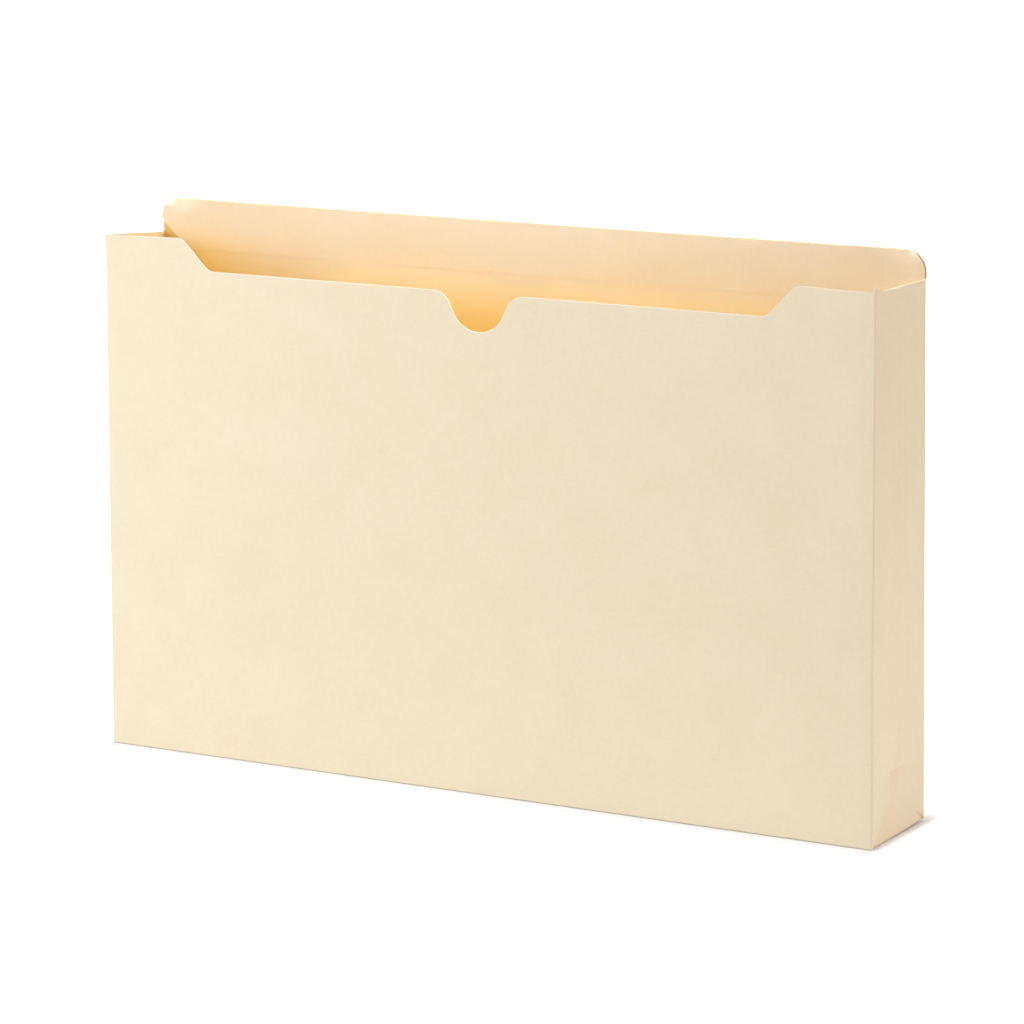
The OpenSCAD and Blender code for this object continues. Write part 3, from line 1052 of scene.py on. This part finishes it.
    flapY = wallY - s["flapInset"]
    flapTop, pleatFoot = s["endFlapTop"], s["pleatFoot"]
    peak = jacket["mitreFoot"] + wallY
    for half, body, end in (("Front", frontBody, -1), ("Rear", rearBody, 1)):
        flapLevels = sorted(end * y for y in levels(0.0, flapY, grid["flap"]))
        outline = [(0.0, peak), (end * flapY, peak - flapY), (end * flapY, flapTop), (0.0, flapTop)]
        side(half + "EndFlap", half.lower() + "_end_flap", body, outline[::end], flapLevels,
             levels(grid["footStart"], flapTop, grid["flap"]), onEndFlap, s["endFlapX"])
        outline = [(0.0, pleatFoot), (end * (peak - pleatFoot), pleatFoot), (0.0, peak)]
        crumple = {"joint": f"{label}_{half.lower()}_fold", "axis": (0, end, 1),
                   "anchor": (sign * s["pleatX"], end * flapY, peak - flapY), "keep": 0.03}
        side(half + "Pleat", half.lower() + "_pleat", body, outline[::end], flapLevels,
             levels(pleatFoot, peak, grid["flap"]), onEndFlap, s["endFlapX"], flatten=crumple)


for sign, label in ((1, "right"), (-1, "left")):
    makeSide(sign, label)
    print(label, "side gusset made")


# Stage: pale floor, soft studio light, white background

stage = {
    "floorColour": "#EDF1F8",   # cool white, against the warm light that the card throws on it
    "floorReach": 6.0,
    "floorZ": -5e-5,
    "nearLift": 0.50,       # painted light added to the floor for the camera alone, rising from the footprint outwards, so that it reads as white paper and shadow shows only close to the jacket
    "nearFrom": 0.0005,
    "nearTo": 0.020,
    "endStretch": 4.0,      # the painted light cuts the shadow this much shorter beyond the ends than before the front
    "litEnd": 0.001,        # and at the left end it leaves hardly any of the shadow
    "farLift": 1.1,
    "farFrom": 0.06,
    "farTo": 0.9,
    "ambient": 0.23,
    "aim": (0, 0, 0.12),
    "lamps": [
        {"name": "keyLamp", "at": (-1.0, -0.8, 0.6), "size": (0.8, 0.8), "watts": 10.5, "colour": "#FFFDF8"},
        {"name": "sideLamp", "at": (1.2, -0.15, 1.1), "size": (1.2, 1.2), "watts": 8.3, "colour": "#FFE9CB"},
        {"name": "topLamp", "at": (0.1, -0.2, 1.5), "size": (0.8, 0.8), "watts": 8.5, "colour": "#FFFFFF"},
        # stands for light that comes through the card, so it is narrow and skips the floor
        {"name": "pocketLamp", "at": (0.0, 0.019, 0.3), "size": (0.38, 0.006), "watts": 0.16,
         "colour": "#FFFFFF", "spread": 60, "cardOnly": True},
        {"name": "backLamp", "at": (-0.35, 1.3, 0.55), "size": (1.0, 1.0), "watts": 5.0, "colour": "#FFFDF8"},
        # stands for the floor's light on the right side
        {"name": "cardLamp", "at": (0.36, 0.02, 0.03), "size": (0.1, 0.1), "watts": 0.05,
         "colour": "#F0F2FF"},
    ],
}


def makeFloor(s):
    mesh = bpy.data.meshes.new("floor")
    w, z = s["floorReach"], s["floorZ"]
    mesh.from_pydata([(-w, -w, z), (w, -w, z), (w, w, z), (-w, w, z)], [], [(0, 1, 2, 3)])
    floor = bpy.data.objects.new("floor", mesh)
    bpy.context.scene.collection.objects.link(floor)
    material = bpy.data.materials.new("paleFloor")
    material.use_nodes = True
    tree = material.node_tree
    tree.nodes.clear()
    seen = addNode(tree, "ShaderNodeLightPath").outputs
    matt = addNode(tree, "ShaderNodeBsdfDiffuse")
    matt.inputs["Color"].default_value = linear(s["floorColour"])
    where = addNode(tree, "ShaderNodeTexCoord").outputs["Object"]
    folded = addNode(tree, "ShaderNodeVectorMath", {0: where}, operation="ABSOLUTE")
    outside = addNode(tree, "ShaderNodeVectorMath", {0: folded}, operation="SUBTRACT",
                      in_1=(halfWidth * mm, halfDepth * mm, 0))
    beyond = addNode(tree, "ShaderNodeVectorMath", {0: outside}, operation="MAXIMUM", in_1=(0, 0, 0))
    away = addNode(tree, "ShaderNodeVectorMath", {0: beyond}, operation="LENGTH").outputs["Value"]
    stretched = addNode(tree, "ShaderNodeVectorMath", {0: beyond}, operation="MULTIPLY",
                        in_1=(s["endStretch"], 1, 1))
    close = addNode(tree, "ShaderNodeVectorMath", {0: stretched}, operation="LENGTH").outputs["Value"]
    axes = addNode(tree, "ShaderNodeSeparateXYZ", {0: where}).outputs
    lit = addNode(tree, "ShaderNodeMapRange", {"Value": axes["X"]}, in_From_Min=-halfWidth * mm,
                  in_From_Max=-halfWidth * mm - s["litEnd"], in_To_Max=s["nearTo"])
    opened = addNode(tree, "ShaderNodeMath", {0: close, 1: lit}, operation="ADD")
    near = addNode(tree, "ShaderNodeMapRange", {"Value": opened}, interpolation_type="SMOOTHSTEP",
                   in_From_Min=s["nearFrom"], in_From_Max=s["nearTo"], in_To_Max=s["nearLift"])
    far = addNode(tree, "ShaderNodeMapRange", {"Value": away}, interpolation_type="SMOOTHSTEP",
                  in_From_Min=s["farFrom"], in_From_Max=s["farTo"], in_To_Max=s["farLift"])
    amount = addNode(tree, "ShaderNodeMath", {0: near, 1: far}, operation="ADD")
    level = addNode(tree, "ShaderNodeMath", {0: seen["Is Camera Ray"], 1: amount}, operation="MULTIPLY")
    lift = addNode(tree, "ShaderNodeEmission", {"Strength": level})
    total = addNode(tree, "ShaderNodeAddShader", {0: matt, 1: lift})
    addNode(tree, "ShaderNodeOutputMaterial", {"Surface": total})
    floor.data.materials.append(material)
    return floor


def makeWorld(s):
    world = bpy.data.worlds.new("studio")
    bpy.context.scene.world = world
    world.use_nodes = True
    tree = world.node_tree
    tree.nodes.clear()
    seen = addNode(tree, "ShaderNodeLightPath").outputs
    shiny = addNode(tree, "ShaderNodeMath", {0: seen["Is Camera Ray"], 1: seen["Is Glossy Ray"]},
                    operation="MAXIMUM")
    direct = addNode(tree, "ShaderNodeMath", {0: shiny, 1: seen["Is Transmission Ray"]},
                     operation="MAXIMUM")
    level = addNode(tree, "ShaderNodeMapRange", {"Value": direct},
                    in_To_Min=s["ambient"], in_To_Max=1.0)
    sky = addNode(tree, "ShaderNodeBackground", {"Strength": level})
    sky.inputs["Color"].default_value = (1, 1, 1, 1)
    addNode(tree, "ShaderNodeOutputWorld", {"Surface": sky})


def makeLamps(s, floor):
    for lamp in s["lamps"]:
        data = bpy.data.lights.new(lamp["name"], "AREA")
        data.shape = "ELLIPSE"
        data.size, data.size_y = lamp["size"]
        data.energy = lamp["watts"]
        data.spread = math.radians(lamp.get("spread", 180))
        data.color = linear(lamp["colour"])[:3]
        light = bpy.data.objects.new(lamp["name"], data)
        light.location = lamp["at"]
        light.visible_camera = False
        aim = Vector(s["aim"]) - light.location
        light.rotation_euler = aim.to_track_quat("-Z", "Y").to_euler()
        bpy.context.scene.collection.objects.link(light)
        if lamp.get("cardOnly"):
            skipped = bpy.data.collections.new("skippedByLamp")
            skipped.objects.link(floor)
            skipped.collection_objects[0].light_linking.link_state = "EXCLUDE"
            light.light_linking.receiver_collection = skipped


stageFloor = makeFloor(stage)
makeWorld(stage)
makeLamps(stage, stageFloor)
bpy.context.scene.view_settings.view_transform = "Standard"
print("stage set")
